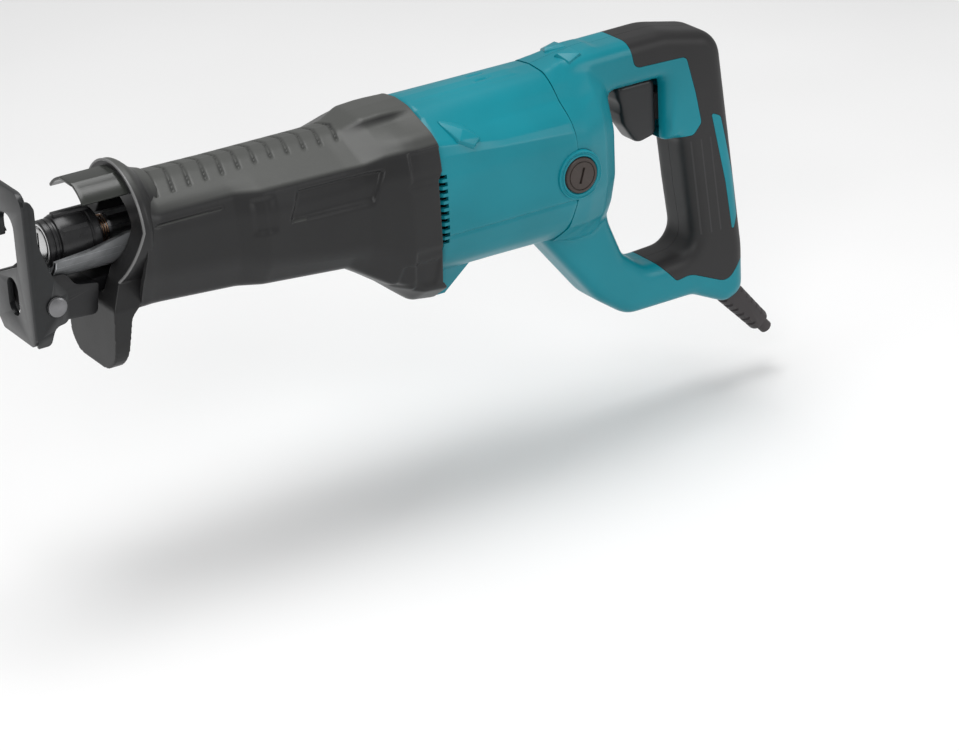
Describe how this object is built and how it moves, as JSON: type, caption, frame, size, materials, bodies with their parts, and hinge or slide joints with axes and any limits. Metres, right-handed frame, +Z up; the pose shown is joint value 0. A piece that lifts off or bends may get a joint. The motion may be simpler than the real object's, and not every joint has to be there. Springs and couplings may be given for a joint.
{
  "type": "reciprocating saw",
  "caption": "Corded reciprocating saw with a rubber boot over the gearbox, a pivoting shoe, a twist blade clamp, a teal motor housing and a D-shaped grip with a trigger.",
  "frame": {"origin": "middle of the flat bottom of the blade slot, on the blade rod's axis, where a blade's end stops", "axes": "+X back along the tool from the blade to the grip, +Z up with the grip's opening below the top bar, +Y the tool's right side seen from behind"},
  "size_m": [0.4762, 0.0872, 0.2119],
  "materials": {
    "boot_rubber": "satin moulded rubber",
    "hood_smoke": "smoked plastic",
    "cast_aluminium": "as cast",
    "bush_bronze": "sintered",
    "seal_rubber": "matt",
    "bearing_steel": "ground",
    "gear_steel": "machined",
    "rod_steel": "ground",
    "guide_bright": "bright",
    "spring_copper": "copper coloured wire",
    "sleeve_black": "black oxide",
    "holder_black": "black",
    "pin_grey": "dark grey",
    "shoe_black": "black satin",
    "housing_teal": "satin moulded plastic",
    "baffle_black": "matt",
    "lamination": "laminated",
    "coil_copper": "copper",
    "fan_plastic": "matt",
    "brush_brass": "pressed",
    "brush_carbon": "carbon",
    "cap_brown": "satin",
    "grip_grey": "matt soft grip",
    "trigger_black": "satin",
    "guard_rubber": "matt",
    "screw_steel": "zinc"
  },
  "bodies": {
    "saw": {"insulation_boot": "boot_rubber", "nose_hood": "hood_smoke", "gear_housing": "cast_aluminium", "gear_housing_cover": "cast_aluminium", "gearbox_rear_wall": "cast_aluminium", "bearing_carrier": "cast_aluminium", "front_guide_bush": "bush_bronze", "rod_seal": "seal_rubber", "crank_bearing_upper": "bearing_steel", "crank_bearing_lower": "bearing_steel", "front_motor_bearing": "bearing_steel", "rear_motor_bearing": "bearing_steel", "motor_housing": "housing_teal", "handle_left": "housing_teal", "handle_right": "housing_teal", "air_baffle": "baffle_black", "field_core": "lamination", "field_coil_upper": "coil_copper", "field_coil_lower": "coil_copper", "brush_holder_left": "brush_brass", "brush_holder_right": "brush_brass", "carbon_brush_left": "brush_carbon", "carbon_brush_right": "brush_carbon", "brush_cap_left": "cap_brown", "brush_cap_right": "cap_brown", "grip_left": "grip_grey", "grip_right": "grip_grey", "switch_body": "trigger_black", "cord_guard": "guard_rubber", "power_cord": "guard_rubber", "handle_screw_1": "screw_steel", "handle_screw_2": "screw_steel", "handle_screw_3": "screw_steel", "handle_screw_4": "screw_steel"},
    "blade_drive": {"slider_rod": "rod_steel", "clamp_guide_sleeve": "guide_bright", "retaining_ring": "guide_bright", "clamp_spring": "spring_copper"},
    "sleeve": {"clamp_sleeve": "sleeve_black"},
    "clamp_pin": {"lock_pin": "rod_steel"},
    "holder": {"shoe_holder": "holder_black", "shoe_pivot_pin": "pin_grey"},
    "shoe_plate": {"shoe": "shoe_black"},
    "armature": {"armature_shaft": "rod_steel", "motor_pinion": "gear_steel", "armature_core": "lamination", "commutator": "coil_copper", "cooling_fan": "fan_plastic"},
    "crank": {"crank_gear": "gear_steel", "crank_pin": "gear_steel", "crank_roller": "gear_steel"},
    "trigger_lever": {"trigger": "trigger_black"},
    "lock_button": {"lock_on_button": "trigger_black"}
  },
  "joints": [
    {"name": "blade_stroke", "type": "slide", "parent": "saw", "child": "blade_drive", "axis": [1, 0, 0], "range_m": [-0.008, 0.022]},
    {"name": "clamp_sleeve_turn", "type": "hinge", "parent": "blade_drive", "child": "sleeve", "pos_m": [-0.01, 0, 0], "axis": [1, 0, 0], "range_deg": [0, 85]},
    {"name": "lock_pin_slide", "type": "slide", "parent": "blade_drive", "child": "clamp_pin", "axis": [0, 1, 0], "range_m": [0, 0.0026]},
    {"name": "shoe_extend", "type": "slide", "parent": "saw", "child": "holder", "axis": [-1, 0, 0], "range_m": [0, 0.025]},
    {"name": "shoe_tilt", "type": "hinge", "parent": "holder", "child": "shoe_plate", "pos_m": [-0.0284, 0, -0.026], "axis": [0, 1, 0], "range_deg": [-35, 5]},
    {"name": "motor_spin", "type": "hinge", "parent": "saw", "child": "armature", "pos_m": [0.22, 0, -0.023], "axis": [1, 0, 0], "continuous": true},
    {"name": "crank_spin", "type": "hinge", "parent": "saw", "child": "crank", "pos_m": [0.115, 0, -0.014], "axis": [0, 0, 1], "continuous": true},
    {"name": "trigger_pull", "type": "slide", "parent": "saw", "child": "trigger_lever", "axis": [1, 0, 0], "range_m": [0, 0.006]},
    {"name": "lock_on_press", "type": "slide", "parent": "saw", "child": "lock_button", "axis": [0, -1, 0], "range_m": [0, 0.004]}
  ],
  "couplings": [
    {"joint": "lock_pin_slide", "follows": "clamp_sleeve_turn", "m_per_rad": 0.001685},
    {"joint": "crank_spin", "follows": "motor_spin", "ratio": -0.16667}
  ]
}
